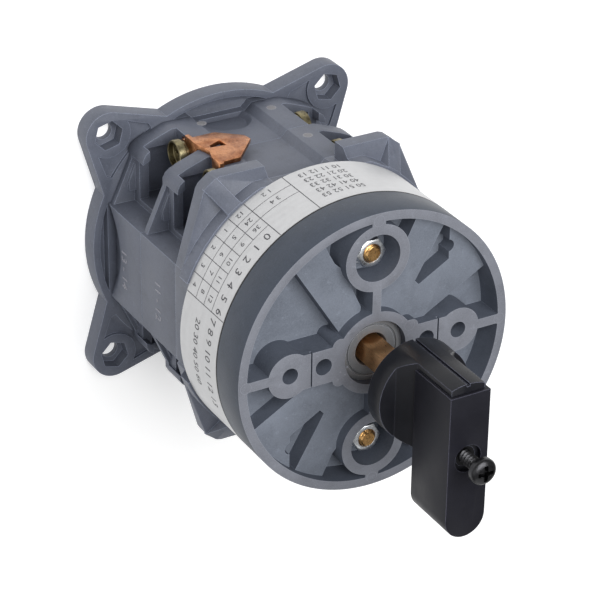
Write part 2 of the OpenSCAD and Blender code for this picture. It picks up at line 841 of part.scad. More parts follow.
module rotor(z) {
    split = contact_h + blade_t / 2;
    color("#54392b") translate([0, 0, z]) difference() {
        union() {
            translate([0, 0, run]) cylinder(r = journal_r, h = floor_t);
            translate([0, 0, floor_t + run]) cylinder(r = rotor_r, h = split - floor_t - run);
        }
        square_bore(-over, deck_h);
        translate([-2 * rotor_r, -blade_w / 2 - thread_fit, contact_h - blade_t / 2])
            cube([4 * rotor_r, blade_w + 2 * thread_fit, deck_h]);
    }
}

module rotor_cap(z) {
    split = contact_h + blade_t / 2;
    color("#54392b") translate([0, 0, z + split]) difference() {
        cylinder(r = rotor_r, h = deck_h - run - split);
        square_bore(-over, deck_h);
    }
}

module blade(z) {
    color(copper) translate([0, 0, z + contact_h - blade_t / 2]) difference() {
        linear_extrude(blade_t) intersection() {
            circle(blade_r);
            square([3 * blade_r, blade_w], center = true);
        }
        square_bore(-over, deck_h);
    }
}

// Star wheel: journals at both ends, valleys every sixth of a turn and the stop dog in front
module detent_star() {
    color(black) difference() {
        union() {
            translate([0, 0, z_frame + run]) cylinder(r = journal_r, h = z_star - z_frame - run);
            translate([0, 0, z_star]) linear_extrude(star_t) difference() {
                circle(star_r);
                for (turn = [30:60:330]) rotate([0, 0, turn]) translate([valley_at, 0]) circle(valley_r);
            }
            translate([0, 0, z_dog]) cylinder(r = rotor_r - over, h = z_bearing - z_dog - run);
            translate([0, 0, z_dog + dog_gap]) sector(dog_r, dog_deg, z_bearing - z_dog - dog_gap - run);
            translate([0, 0, z_dog]) cylinder(r = star_journal_r, h = z_bearing - z_dog + bearing_t);
        }
        square_bore(z_frame - over, base_t + 10);
    }
}

// Leaf spring whose rounded nose lies in a valley of the star
module detent_spring(side) {
    color(zinc) translate([0, 0, z_star]) mirrored(1, side) linear_extrude(star_t - run) {
        translate([-spring_l, spring_y - spring_t / 2]) square([2 * spring_l, spring_t]);
        translate([0, valley_at]) difference() {
            circle(spring_nose_r);
            circle(spring_nose_r - spring_t);
        }
    }
}

// Knob

module grip_outline(inset = 0) {
    r = core_x + fit / 2 + grip_wall;
    translate([0, r - grip_reach]) circle(r - inset);
    translate([inset - r, r - grip_reach]) square([2 * (r - inset), grip_reach + grip_top - r]);
}

module knob_hub() {
    groove_w = 1;
    groove_t = 0.8;
    color(black) difference() {
        union() {
            translate([0, 0, z_knob]) cylinder(r = knob_r, h = knob_disc_t);
            intersection() {
                translate([0, 0, z_neck - over]) cylinder(r = knob_r, h = neck_h + core_h + over);
                rotate([90, 0, 0]) translate([0, 0, -knob_r]) linear_extrude(2 * knob_r) polygon([
                    [-neck_x, z_neck - over], [neck_x, z_neck - over], [neck_x, z_neck],
                    [core_x, z_core], [core_x, z_core_top], [-core_x, z_core_top],
                    [-core_x, z_core], [-neck_x, z_neck]
                ]);
            }
        }
        square_bore(z_knob - over, socket_t + over + fit);
        translate([-groove_w / 2, knob_r - groove_t, z_knob - over])
            cube([groove_w, 5, z_core_top - z_knob + 2 * over]);
        translate([0, -knob_screw_y, z_core_top - insert_t]) cylinder(r = insert_r, h = insert_t + over);
        translate([0, -knob_screw_y, z_core_top - knob_screw_l - fit - over])
            cylinder(r = knob_screw_r + fit, h = knob_screw_l);
    }
}

module knob_insert() {
    color(brass) translate([0, -knob_screw_y, z_core_top - insert_t])
        ring(insert_r, knob_screw_r + thread_fit, insert_t);
}

module grip_sleeve() {
    floor_z = z_core + grip_gap;
    color(black) difference() {
        translate([0, 0, floor_z]) linear_extrude(z_core_top + grip_front_t - floor_z) grip_outline();
        translate([0, 0, floor_z - over]) linear_extrude(z_core_top - floor_z + over) union() {
            grip_outline(grip_wall);
            translate([-core_x - fit / 2, 0]) square([2 * core_x + fit, grip_top + over]);
        }
        translate([0, -knob_screw_y, z_core_top - over])
            cylinder(r = knob_head_r + 2 * fit, h = grip_front_t + 2 * over);
    }
}

module knob_screw() {
    color(black) translate([0, -knob_screw_y, z_core_top + screw_out]) {
        translate([0, 0, -knob_screw_l]) cylinder(r = knob_screw_r, h = knob_screw_l);
        cylinder(r = knob_head_r, h = knob_head_t);
    }
}

back_plate();
rear_deck();
front_deck();
front_frame();
bearing_plate();
label_band();
seal_ring();
front_cover();
shaft_bushing();
tie_stud(1);  // tie_stud_top
tie_stud(-1);  // tie_stud_bottom
stud_nut(1, rear_nut_z);  // rear_nut_top
stud_nut(-1, rear_nut_z);  // rear_nut_bottom
stud_washer(1);  // washer_top
stud_washer(-1);  // washer_bottom
spring_washer(1);  // spring_washer_top
spring_washer(-1);  // spring_washer_bottom
stud_nut(1, front_nut_z);  // front_nut_top
stud_nut(-1, front_nut_z);  // front_nut_bottom
fixed_contact(plate_t, UPPER_LEFT);  // rear_contact_ul
fixed_contact(plate_t, UPPER_RIGHT);  // rear_contact_ur
fixed_contact(plate_t, LOWER_LEFT);  // rear_contact_ll
fixed_contact(plate_t, LOWER_RIGHT);  // rear_contact_lr
fixed_contact(z_front_deck, UPPER_LEFT);  // front_contact_ul
fixed_contact(z_front_deck, UPPER_RIGHT);  // front_contact_ur
fixed_contact(z_front_deck, LOWER_LEFT);  // front_contact_ll
fixed_contact(z_front_deck, LOWER_RIGHT);  // front_contact_lr
terminal_screw(plate_t, UPPER_LEFT, link_t);  // rear_screw_ul
terminal_screw(plate_t, UPPER_RIGHT);  // rear_screw_ur
terminal_screw(plate_t, LOWER_LEFT);  // rear_screw_ll
terminal_screw(plate_t, LOWER_RIGHT);  // rear_screw_lr
terminal_screw(z_front_deck, UPPER_LEFT, link_t);  // front_screw_ul
terminal_screw(z_front_deck, UPPER_RIGHT);  // front_screw_ur
terminal_screw(z_front_deck, LOWER_LEFT);  // front_screw_ll
terminal_screw(z_front_deck, LOWER_RIGHT);  // front_screw_lr
copper_link();
shaft();
rotor(plate_t);  // rear_rotor
rotor(z_front_deck);  // front_rotor
rotor_cap(plate_t);  // rear_rotor_cap
rotor_cap(z_front_deck);  // front_rotor_cap
blade(plate_t);  // rear_blade
blade(z_front_deck);  // front_blade
detent_star();
detent_spring(1);  // detent_spring_top
detent_spring(-1);  // detent_spring_bottom
knob_hub();
grip_sleeve();
knob_insert();
knob_screw();
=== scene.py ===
"""Dresses the rotary changeover switch: camera, soft studio light, finishes and fine pieces on its solids."""

import json

import bmesh
import bpy
import numpy as np
from mathutils import Matrix, Vector


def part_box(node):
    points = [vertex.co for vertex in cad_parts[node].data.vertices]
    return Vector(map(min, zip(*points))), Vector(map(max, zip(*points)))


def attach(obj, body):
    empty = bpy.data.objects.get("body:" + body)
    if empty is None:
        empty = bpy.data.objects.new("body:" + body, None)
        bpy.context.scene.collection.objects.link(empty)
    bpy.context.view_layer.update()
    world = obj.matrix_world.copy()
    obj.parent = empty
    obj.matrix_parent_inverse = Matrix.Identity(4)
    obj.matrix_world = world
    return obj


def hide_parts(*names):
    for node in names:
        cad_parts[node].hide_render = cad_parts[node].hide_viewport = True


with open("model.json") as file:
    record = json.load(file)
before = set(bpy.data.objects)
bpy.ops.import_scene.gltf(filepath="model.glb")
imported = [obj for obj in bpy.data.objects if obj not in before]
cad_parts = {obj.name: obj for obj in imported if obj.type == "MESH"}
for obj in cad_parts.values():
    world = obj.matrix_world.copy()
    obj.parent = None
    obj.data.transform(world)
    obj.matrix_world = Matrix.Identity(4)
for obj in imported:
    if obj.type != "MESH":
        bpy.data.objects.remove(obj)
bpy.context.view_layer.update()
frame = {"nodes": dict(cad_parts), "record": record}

MM = 0.001


# The camera, fitted to the photograph

PHOTO_PIXELS = 600
FOCAL_PIXELS = 2544
SENSOR_MM = 36


def place_camera():
    """Long lens from the upper left, rolled by under a degree, aimed from the cover's face."""
    turn, lift, roll = np.radians([30.05, 28.95, 0.75])
    distance, slide_right, slide_up = 716.8 * MM, 21.46 * MM, -14.56 * MM
    face_z = 98.5 * MM
    right = np.array([np.cos(turn), 0.0, np.sin(turn)])
    up = np.array([np.sin(turn) * np.sin(lift), np.cos(lift), -np.cos(turn) * np.sin(lift)])
    back = np.cross(right, up)
    eye = distance * back - slide_right * right - slide_up * up + np.array([0.0, 0.0, face_z])
    rolled_right = np.cos(roll) * right + np.sin(roll) * up
    rolled_up = np.cos(roll) * up - np.sin(roll) * right
    data = bpy.data.cameras.new("photo_camera")
    data.lens = FOCAL_PIXELS / PHOTO_PIXELS * SENSOR_MM
    data.sensor_width = SENSOR_MM
    data.clip_end = 10
    camera = bpy.data.objects.new("photo_camera", data)
    camera.matrix_world = Matrix([
        [*[v[i] for v in (rolled_right, rolled_up, back)], eye[i]] for i in range(3)
    ] + [[0, 0, 0, 1]])
    bpy.context.scene.collection.objects.link(camera)
    bpy.context.scene.camera = camera


place_camera()


# Node helpers

# Sockets of the Mix node that carry colours: the two that go in and the one that comes out
MIX_FIRST, MIX_SECOND, MIX_RESULT = 6, 7, 2


class Finish:
    """One procedural material, built node by node around a Principled shader."""

    def __init__(self, name):
        self.material = bpy.data.materials.new(name)
        self.material.use_nodes = True
        self.nodes = self.material.node_tree.nodes
        self.links = self.material.node_tree.links
        self.shader = self.nodes["Principled BSDF"]
        self.place = self.nodes.new("ShaderNodeTexCoord").outputs["Object"]

    def add(self, kind, **settings):
        node = self.nodes.new(kind)
        for key, value in settings.items():
            setattr(node, key, value)
        return node

    def link(self, source, target):
        self.links.new(source, target)

    def noise(self, scale, detail=3.0, rough=0.55, stretch=None):
        """Noise with that many cells in a metre, stretched along an axis where asked."""
        node = self.add("ShaderNodeTexNoise")
        node.inputs["Scale"].default_value = scale
        node.inputs["Detail"].default_value = detail
        node.inputs["Roughness"].default_value = rough
        source = self.place
        if stretch:
            mapping = self.add("ShaderNodeMapping")
            mapping.inputs["Scale"].default_value = stretch
            self.link(self.place, mapping.inputs["Vector"])
            source = mapping.outputs["Vector"]
        self.link(source, node.inputs["Vector"])
        return node.outputs["Fac"]

    def ramp(self, source, low, high, low_value=0.0, high_value=1.0):
        """Maps a value from low..high to low_value..high_value."""
        node = self.add("ShaderNodeMapRange")
        limits = {"From Min": low, "From Max": high, "To Min": low_value, "To Max": high_value}
        for key, value in limits.items():
            node.inputs[key].default_value = value
        self.link(source, node.inputs["Value"])
        return node.outputs["Result"]

    def math(self, operation, a, b):
        """Joins two values, each a number or a socket, by a Math node's operation."""
        node = self.add("ShaderNodeMath", operation=operation)
        for socket, value in zip(node.inputs, (a, b)):
            if isinstance(value, (int, float)):
                socket.default_value = value
            else:
                self.link(value, socket)
        return node.outputs["Value"]

    def mix(self, amount, first, second, blend="MIX"):
        """Mixes two colours, each a tuple or a socket, by a value, or in full where there is none."""
        node = self.add("ShaderNodeMix", data_type="RGBA", blend_type=blend)
        node.inputs["Factor"].default_value = 1.0
        if amount is not None:
            self.link(amount, node.inputs["Factor"])
        for socket, value in ((MIX_FIRST, first), (MIX_SECOND, second)):
            if isinstance(value, tuple):
                node.inputs[socket].default_value = (*value, 1.0)
            else:
                self.link(value, node.inputs[socket])
        return node.outputs[MIX_RESULT]

    def edges(self, radius):
        """Value that rises from 0 on flats to 1 on sharp outer edges, from the rounded normal."""
        soft = self.add("ShaderNodeBevel", samples=4)
        soft.inputs["Radius"].default_value = radius
        flat = self.add("ShaderNodeNewGeometry")
        dot = self.add("ShaderNodeVectorMath", operation="DOT_PRODUCT")
        self.link(soft.outputs["Normal"], dot.inputs[0])
        self.link(flat.outputs["Normal"], dot.inputs[1])
        return self.ramp(dot.outputs["Value"], 0.995, 0.8)

    def above(self, level):
        """Value that is 1 where the frame's Z lies over a level in millimetres, else 0."""
        split = self.add("ShaderNodeSeparateXYZ")
        self.link(self.place, split.inputs[0])
        return self.math("GREATER_THAN", split.outputs["Z"], level * MM)

    def outside(self, radius):
        """Value that is 1 further than a radius in millimetres from the shaft's axis, else 0."""
        split = self.add("ShaderNodeSeparateXYZ")
        self.link(self.place, split.inputs[0])
        squares = [self.math("MULTIPLY", split.outputs[axis], split.outputs[axis]) for axis in "XY"]
        return self.math("GREATER_THAN", self.math("ADD", *squares), (radius * MM) ** 2)

    def steep(self):
        """Value that rises from 0 on faces square to the shaft to 1 on faces along it."""
        face = self.add("ShaderNodeNewGeometry")
        split = self.add("ShaderNodeSeparateXYZ")
        self.link(face.outputs["Normal"], split.inputs[0])
        return self.ramp(self.math("ABSOLUTE", split.outputs["Z"], 0.0), 0.9, 0.3)

    def bump(self, height, distance, strength=1.0):
        node = self.add("ShaderNodeBump")
        node.inputs["Distance"].default_value = distance
        node.inputs["Strength"].default_value = strength
        self.link(height, node.inputs["Height"])
        self.link(node.outputs["Normal"], self.shader.inputs["Normal"])

    def colour(self, value):
        if isinstance(value, tuple):
            self.shader.inputs["Base Color"].default_value = (*value, 1.0)
        else:
            self.link(value, self.shader.inputs["Base Color"])

    def rough(self, value):
        if isinstance(value, float):
            self.shader.inputs["Roughness"].default_value = value
        else:
            self.link(value, self.shader.inputs["Roughness"])

    def metal(self):
        self.shader.inputs["Metallic"].default_value = 1.0


def srgb(red, green, blue):
    """Linear colour of an 8-bit screen colour."""
    c = np.array([red, green, blue]) / 255
    linear = np.where(c <= 0.04045, c / 12.92, ((c + 0.055) / 1.055) ** 2.4)
    return tuple(float(v) for v in linear)


# Finishes

def scaled(base, gain):
    """A colour made lighter or darker."""
    return tuple(gain * v for v in base)


def moulded(name, base, rough=0.5, edge_highlight_gain=2.8, edge_width=0.38, face_level=None, face=None, wall_shade=None,
            side_radius=None, side=None, sheen=0.4):
    """Moulded plastic: cloudy flow marks, a fine grain, rubbed spots and a pale painted highlight along edges.

    Faces over a level, walls that run along the shaft and walls past a radius may each have their own colour;
    on the cover these are a painted highlight on raised faces and painted shade on walls and the outer band.
    """
    f = Finish(name)
    clouds = f.noise(60, 6, 0.65)
    stains = f.noise(170, 6, 0.7)
    grain = f.noise(2600, 2, 0.5)
    rubs = f.noise(420, 6, 0.8)
    shade = f.mix(f.ramp(clouds, 0.3, 0.7), (0.86,) * 3, (1.1,) * 3)
    shade = f.mix(f.ramp(stains, 0.5, 0.7, 0.0, 0.7), shade, (0.74,) * 3)
    shade = f.mix(f.ramp(grain, 0.35, 0.7, 0.0, 0.35), shade, (1.4,) * 3)
    shade = f.mix(f.ramp(rubs, 0.58, 0.7, 0.0, 0.55), shade, (1.6,) * 3)
    # Painted highlight: sharp edges made lighter by the edge gain
    shade = f.mix(f.edges(edge_width * MM), shade, (edge_highlight_gain,) * 3)
    tone = base
    # Painted highlight: faces over the level get the lighter face colour
    if face:
        tone = f.mix(f.above(face_level), tone, face)
    # Painted shade: walls along the shaft get the darker wall colour
    if wall_shade:
        tone = f.mix(f.steep(), tone, wall_shade)
    # Painted shade: walls past the radius get the darker side colour, standing for the dark surroundings they
    # reflect
    if side:
        tone = f.mix(f.math("MULTIPLY", f.steep(), f.outside(side_radius)), tone, side)
    f.colour(f.mix(None, tone, shade, "MULTIPLY"))
    f.rough(f.ramp(clouds, 0.3, 0.7, rough - 0.05, rough + 0.08))
    f.shader.inputs["Specular IOR Level"].default_value = sheen
    f.bump(grain, 0.05 * MM, 0.6)
    return f.material


def black_plastic(name, base, rough, edge_highlight_gain, sheen=0.5):
    """Black plastic: a fine grain, faint dust and a grey painted highlight along edges."""
    f = Finish(name)
    clouds = f.noise(110, 4, 0.6)
    grain = f.noise(3400, 2, 0.5)
    dust = f.noise(900, 4, 0.8)
    tone = f.mix(f.ramp(clouds, 0.35, 0.7), base, scaled(base, 1.3))
    tone = f.mix(f.ramp(dust, 0.6, 0.72, 0.0, 0.4), tone, scaled(base, 2.2))
    # Painted highlight: edges made lighter by the edge gain
    f.colour(f.mix(f.edges(0.35 * MM), tone, scaled(base, edge_highlight_gain)))
    f.rough(f.ramp(clouds, 0.3, 0.7, rough - 0.04, rough + 0.08))
    f.shader.inputs["Specular IOR Level"].default_value = sheen
    f.bump(grain, 0.04 * MM, 0.5)
    return f.material


def drawn_metal(name, base, tarnish, rough, stretch, tarnish_amount=0.6, edge_highlight=None, chips=0.0):
    """Metal with lines along the way it was drawn or turned and cloudy tarnish.

    A bright painted highlight along edges and fine dark chips are added where they are given.
    """
    f = Finish(name)
    f.metal()
    clouds = f.noise(240, 6, 0.7)
    lines = f.noise(1100, 2, 0.5, stretch)
    tone = f.mix(f.ramp(clouds, 0.4, 0.68, 0.0, tarnish_amount), base, tarnish)
    if chips:
        specks = f.noise(1300, 4, 0.75)
        tone = f.mix(f.ramp(specks, 0.52, 0.64, 0.0, chips), tone, scaled(tarnish, 0.4))
    # Painted highlight: edges take the bright edge colour
    if edge_highlight:
        tone = f.mix(f.edges(0.35 * MM), tone, edge_highlight)
    f.colour(tone)
    f.rough(f.ramp(lines, 0.3, 0.7, rough - 0.07, rough + 0.1))
    relief, depth = (specks, 0.02) if chips else (lines, 0.004)
    f.bump(relief, depth * MM, 0.5)
    return f.material


def foil(name, base):
    """Printed foil: a fine mottled silver-white with long faint streaks round the drum."""
    f = Finish(name)
    mottle = f.noise(420, 5, 0.7)
    streaks = f.noise(60, 4, 0.6, (1, 1, 7))
    tone = f.mix(f.ramp(mottle, 0.3, 0.7), scaled(base, 0.9), base)
    f.colour(f.mix(f.ramp(streaks, 0.35, 0.7, 0.0, 0.5), tone, scaled(base, 1.12)))
    f.rough(f.ramp(streaks, 0.3, 0.7, 0.32, 0.42))
    f.bump(mottle, 0.02 * MM, 0.5)
    return f.material


def ink(name, base):
    """Printed ink, a little worn."""
    f = Finish(name)
    f.colour(f.mix(f.ramp(f.noise(1500, 4, 0.7), 0.35, 0.7), base, scaled(base, 2.2)))
    f.rough(0.5)
    return f.material


def rubber(name, base):
    """Dull rubber, slightly mottled."""
    f = Finish(name)
    f.colour(f.mix(f.ramp(f.noise(900), 0.3, 0.7), base, scaled(base, 1.6)))
    f.rough(0.7)
    return f.material


HOUSING_GREY = (0.104, 0.115, 0.148)
COVER_GREY = (0.14, 0.156, 0.188)
# Painted highlight on the cover's raised faces
FACE_HIGHLIGHT_GREY = (0.162, 0.17, 0.196)
# Painted shade on the cover's walls along the shaft
WALL_SHADE_GREY = (0.078, 0.089, 0.114)
# Painted shade on the cover's outer band, standing for the dark surroundings it reflects
SIDE_SHADE_GREY = (0.046, 0.056, 0.076)
FINISHES = {
    "housing": moulded("housing_plastic", HOUSING_GREY),
    # The cover's face, wall and side colours are painted highlight and painted shade
    "cover": moulded("cover_plastic", COVER_GREY, 0.45, 1.7, 0.35, face_level=98.35, face=FACE_HIGHLIGHT_GREY,
                    wall_shade=WALL_SHADE_GREY, side_radius=43.9, side=SIDE_SHADE_GREY, sheen=0.2),
    "bushing": moulded("bushing_plastic", (0.15, 0.155, 0.165), 0.45),
    "label": foil("label_foil", (0.51, 0.512, 0.52)),
    "seal": rubber("seal_rubber", srgb(22, 22, 25)),
    "brass": drawn_metal("turned_brass", srgb(240, 192, 128), srgb(150, 104, 56), 0.3, (1, 1, 12),
                         tarnish_amount=0.8, chips=0.7),
    "shaft": drawn_metal("drawn_brass", srgb(246, 194, 140), srgb(206, 146, 98), 0.33, (8, 8, 0.4),
                         tarnish_amount=0.7),
    "zinc": drawn_metal("zinc_plate", srgb(238, 240, 242), srgb(190, 196, 203), 0.3, (1, 1, 6),
                        tarnish_amount=0.5),
    # The copper's bright edge colour is a painted highlight
    "copper": drawn_metal("bare_copper", srgb(184, 130, 92), srgb(112, 60, 32), 0.36, (1, 1, 1),
                          tarnish_amount=1.0, edge_highlight=srgb(232, 160, 112), chips=0.45),
    "rotor": black_plastic("rotor_moulding", srgb(74, 48, 36), 0.5, 1.6),
    "detent": black_plastic("detent_nylon", srgb(34, 34, 38), 0.45, 2.5),
    # The knob's and grip's high edge gains paint a strong highlight along their edges
    "knob": black_plastic("knob_plastic", (0.0062, 0.0065, 0.009), 0.33, 22.0, 0.25),
    "grip": black_plastic("grip_plastic", (0.0098, 0.0098, 0.0138), 0.4, 10.0, 0.15),
    "black_screw": drawn_metal("black_oxide", srgb(70, 70, 72), srgb(34, 34, 37), 0.34, (1, 1, 4)),
}
INK = ink("label_ink", (0.028, 0.028, 0.033))
PALE_MARK = moulded("pale_mark", (0.162, 0.16, 0.17), 0.45, 2.2)
# Rim marks are pale rings coloured from the painted-highlight face grey, made lighter
RIM_MARK = moulded("rim_mark", scaled(FACE_HIGHLIGHT_GREY, 1.12), 0.45, 1.2)
RAISED_MARK = moulded("raised_mark", (0.154, 0.154, 0.174), 0.45, 2.8)
# Dull brass with dark tarnish at full amount, partly real dullness and partly painted shade of the terminal
# chambers
DULL_SHADED_BRASS = drawn_metal("dull_shaded_brass", srgb(150, 141, 110), srgb(62, 54, 38), 0.42, (12, 1, 1),
                             tarnish_amount=1.0, chips=0.4)

slot_of = {entry["node"]: entry["material_slot"] for entry in frame["record"]["subparts"]}


# Rounded edges and smooth shading of the solids

def smooth_by_angle(limit_deg=32):
    """Node group that shades faces smooth and keeps edges sharp past an angle."""
    group = bpy.data.node_groups.new("smooth_by_angle", "GeometryNodeTree")
    group.interface.new_socket("Geometry", in_out="INPUT", socket_type="NodeSocketGeometry")
    group.interface.new_socket("Geometry", in_out="OUTPUT", socket_type="NodeSocketGeometry")
    nodes, links = group.nodes, group.links
    start = nodes.new("NodeGroupInput")
    end = nodes.new("NodeGroupOutput")
    faces = nodes.new("GeometryNodeSetShadeSmooth")
    faces.domain = "FACE"
    sides = nodes.new("GeometryNodeSetShadeSmooth")
    sides.domain = "EDGE"
    angle = nodes.new("GeometryNodeInputMeshEdgeAngle")
    below = nodes.new("FunctionNodeCompare")
    below.data_type = "FLOAT"
    below.operation = "LESS_THAN"
    below.inputs["B"].default_value = np.radians(limit_deg)
    links.new(start.outputs[0], faces.inputs["Geometry"])
    links.new(faces.outputs["Geometry"], sides.inputs["Geometry"])
    links.new(angle.outputs["Unsigned Angle"], below.inputs["A"])
    links.new(below.outputs["Result"], sides.inputs["Shade Smooth"])
    links.new(sides.outputs["Geometry"], end.inputs[0])
    return group


SMOOTH = smooth_by_angle()
WELD_MM = 0.002
FLAT_DEG = 0.4
ROUNDED_DEG = 40
# Widths of the rounded edges, in millimetres
EDGE_WIDTH = {
    "front_cover": 0.22, "front_frame": 0.3, "rear_deck": 0.22, "front_deck": 0.22, "back_plate": 0.35,
    "knob_hub": 0.35, "grip_sleeve": 0.4, "copper_link": 0.5, "shaft": 0.25, "shaft_bushing": 0.2,
}


def finish_solid(node):
    """Welds a solid's triangles, rounds its edges and gives it its finish."""
    solid = frame["nodes"][node]
    weld = solid.modifiers.new("weld", "WELD")
    weld.merge_threshold = WELD_MM * MM
    flat = solid.modifiers.new("flat_faces", "DECIMATE")
    flat.decimate_type = "DISSOLVE"
    flat.angle_limit = np.radians(FLAT_DEG)
    if node in EDGE_WIDTH:
        bevel = solid.modifiers.new("edges", "BEVEL")
        bevel.width = EDGE_WIDTH[node] * MM
        bevel.segments = 2
        bevel.limit_method = "ANGLE"
        bevel.angle_limit = np.radians(ROUNDED_DEG)
    smooth = solid.modifiers.new("smooth", "NODES")
    smooth.node_group = SMOOTH
    solid.data.materials.clear()
    solid.data.materials.append(FINISHES[slot_of[node]])


for name in frame["nodes"]:
    finish_solid(name)


# Fine pieces: surfaces worked out on a grid of two parameters, in millimetres

def corners(node):
    """Lowest and highest corner of a node, in millimetres."""
    return [np.array(corner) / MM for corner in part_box(node)]


def stand(points, origin, axis=(0, 0, 1)):
    """Turns local points so that their Z lies along an axis, and moves them to an origin."""
    axis = np.array(axis, float)
    first = np.array([0, 0, 1.0]) if abs(axis[2]) < 0.5 else np.array([1.0, 0, 0])
    side = np.cross(first, axis)
    turn = np.stack([np.cross(side, axis) * -1, side * -1, axis])
    if np.linalg.det(turn) < 0:
        turn[1] *= -1
    return points @ turn + np.array(origin, float)


def add_mesh(name, points, faces, body, finish, weld_mm=0.0):
    """One object from points in millimetres and faces, which are turned outwards."""
    mesh = bpy.data.meshes.new(name)
    mesh.from_pydata((np.concatenate(points) * MM).tolist(), [], faces)
    shell = bmesh.new()
    shell.from_mesh(mesh)
    if weld_mm:
        bmesh.ops.remove_doubles(shell, verts=shell.verts, dist=weld_mm * MM)
    bmesh.ops.recalc_face_normals(shell, faces=shell.faces)
    shell.to_mesh(mesh)
    shell.free()
    mesh.materials.append(finish)
    made = bpy.data.objects.new(name, mesh)
    bpy.context.scene.collection.objects.link(made)
    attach(made, body)
    return made


def piece(name, patches, body, slot, finish=None, stands_for=(), smooth=True):
    """One mesh from patches of points. A patch is a grid whose columns run once round and close.

    Its rows close into a ring, or else each end closes at its own middle.
    """
    all_points, faces, first = [], [], 0
    for points, ring in patches:
        rows, cols = points.shape[:2]
        index = first + np.arange(rows * cols).reshape(rows, cols)
        lower = index if ring else index[:-1]
        upper = np.roll(index, -1, axis=0) if ring else index[1:]
        quads = np.stack([lower, np.roll(lower, -1, 1), np.roll(upper, -1, 1), upper], -1).reshape(-1, 4)
        faces += quads.tolist()
        all_points.append(points.reshape(-1, 3))
        first += rows * cols
        if not ring:
            all_points.append(np.stack([points[0].mean(0), points[-1].mean(0)]))
            for middle, line in ((first, index[0][::-1]), (first + 1, index[-1])):
                fan = np.stack([np.full(cols, middle), line, np.roll(line, -1)], -1)
                faces += fan.tolist()
            first += 2
    made = add_mesh(name, all_points, faces, body, finish or FINISHES[slot])
    if smooth:
        made.modifiers.new("smooth", "NODES").node_group = SMOOTH
    if stands_for:
        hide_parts(*stands_for)


def circle_of(count):
    """Angles of that many equal steps round a circle."""
    return np.arange(count) * 2 * np.pi / count


def turned(radius, height, count):
    """Points of a turned shape: each row is a circle with its own radius and height.

    Both are given once for a row, or for each of its points.
    """
    angle = circle_of(count)
    radius, height = (np.broadcast_to(np.asarray(values, float).reshape(len(values), -1), (len(values), count))
                      for values in (radius, height))
    return np.stack([radius * np.cos(angle), radius * np.sin(angle), height], -1)


def hex_nut(across, high, bore):
    """Nut: a six-sided prism cut by a flat cone at both ends, so each side ends in an arc."""
    count = 96
    flat = across / 2
    outline = flat / np.cos(np.mod(circle_of(count), np.pi / 3) - np.pi / 6)
    land = 0.95 * flat
    drop = 0.55 * (outline - land)
    sink = 0.35
    level = np.ones(count)
    radius = [(bore + sink) * level, land * level, outline, outline, land * level, (bore + sink) * level,
              bore * level, bore * level]
    height = [0 * level, 0 * level, drop, high - drop, high * level, high * level,
              (high - sink) * level, sink * level]
    return turned(radius, height, count)


ROWS_PER_PITCH = 10


def thread_rows(major, pitch, low, high, count, end_low=True, end_high=True):
    """Screw thread: the radius falls and rises once a pitch along the axis, shifted by the turn round it.

    An end that is asked for tapers at 45 degrees.
    """
    height = np.linspace(low, high, int((high - low) / pitch * ROWS_PER_PITCH) + 1)[:, None]
    phase = np.mod(height / pitch - circle_of(count) / (2 * np.pi), 1)
    depth = 0.58 * pitch
    radius = major - depth * np.clip(1.25 * np.abs(2 * phase - 1) - 0.12, 0, 1)
    if end_low:
        radius = np.minimum(radius, major - depth * 1.1 + (height - low))
    if end_high:
        radius = np.minimum(radius, major - depth * 1.1 + (high - height))
    return radius, np.broadcast_to(height, radius.shape)


def threaded_rod(major, pitch, length, end):
    """Rod with a thread of that length at both ends and a plain shank between."""
    count = 48
    low_r, low_h = thread_rows(major, pitch, 0, end, count, end_high=False)
    high_r, high_h = thread_rows(major, pitch, length - end, length, count, end_low=False)
    plain = np.full((2, count), major - 0.12)
    middle = np.array([[end + 0.1], [length - end - 0.1]]) * np.ones((1, count))
    return turned(np.concatenate([low_r, plain, high_r]), np.concatenate([low_h, middle, high_h]), count)


def split_washer(outer, inner, thick, gap_deg=9, rise=0.25):
    """Spring washer: a rounded oblong carried round an arc that climbs a little from end to end."""
    steps = 72
    angle = np.radians(np.linspace(gap_deg, 360 - gap_deg, steps))[:, None]
    turn = np.linspace(-0.5, 0.5, steps)[:, None]
    half_w, half_h, soft = (outer - inner) / 2, (thick - rise) / 2, 0.16
    side_w, side_h = half_w - soft, half_h - soft
    across = np.array([side_w, half_w, half_w, side_w, -side_w, -half_w, -half_w, -side_w])
    up = np.array([half_h, side_h, -side_h, -half_h, -half_h, -side_h, side_h, half_h])
    radius = (outer + inner) / 2 + across
    return np.stack([radius * np.cos(angle), radius * np.sin(angle), thick / 2 + up + rise * turn], -1)


def cross_recess(radius, angle, reach, half, deep):
    """Depth of a cross-shaped recess: full inside either bar of a cross, falling off over a thin border."""
    x, y = np.abs(radius * np.cos(angle)), np.abs(radius * np.sin(angle))
    soft = 0.14
    bar = [np.clip((half - a) / soft + 0.5, 0, 1) * np.clip((reach - b) / soft + 0.5, 0, 1)
           for a, b in ((x, y), (y, x))]
    return deep * np.maximum(*bar)


def pan_head_screw(major, pitch, length, head_r, head_t, recess):
    """Screw with a domed head, from tip to crown: thread, flat underside, rounded side, dome, cross recess."""
    count = 96
    angle = circle_of(count)
    thread_r, thread_h = thread_rows(major, pitch, -length, -0.4, count, end_high=False)
    arc = np.radians(np.linspace(0, 90, 40))[:, None]
    side = 0.42 * head_t
    dome_r = np.maximum(head_r * np.cos(arc) ** 0.62, 0.04) * np.ones(count)
    dome_h = side + (head_t - side) * np.sin(arc) * np.ones(count)
    dome_h = dome_h - cross_recess(dome_r, angle, *recess)
    neck_r = np.array([[major - 0.25], [major - 0.2], [head_r - 0.3], [head_r - 0.05]]) * np.ones(count)
    neck_h = np.array([[-0.3], [0], [0], [0.25]]) * np.ones(count)
    radius = np.concatenate([thread_r, neck_r, dome_r])
    height = np.concatenate([thread_h, neck_h, dome_h])
    return turned(radius, height, count)


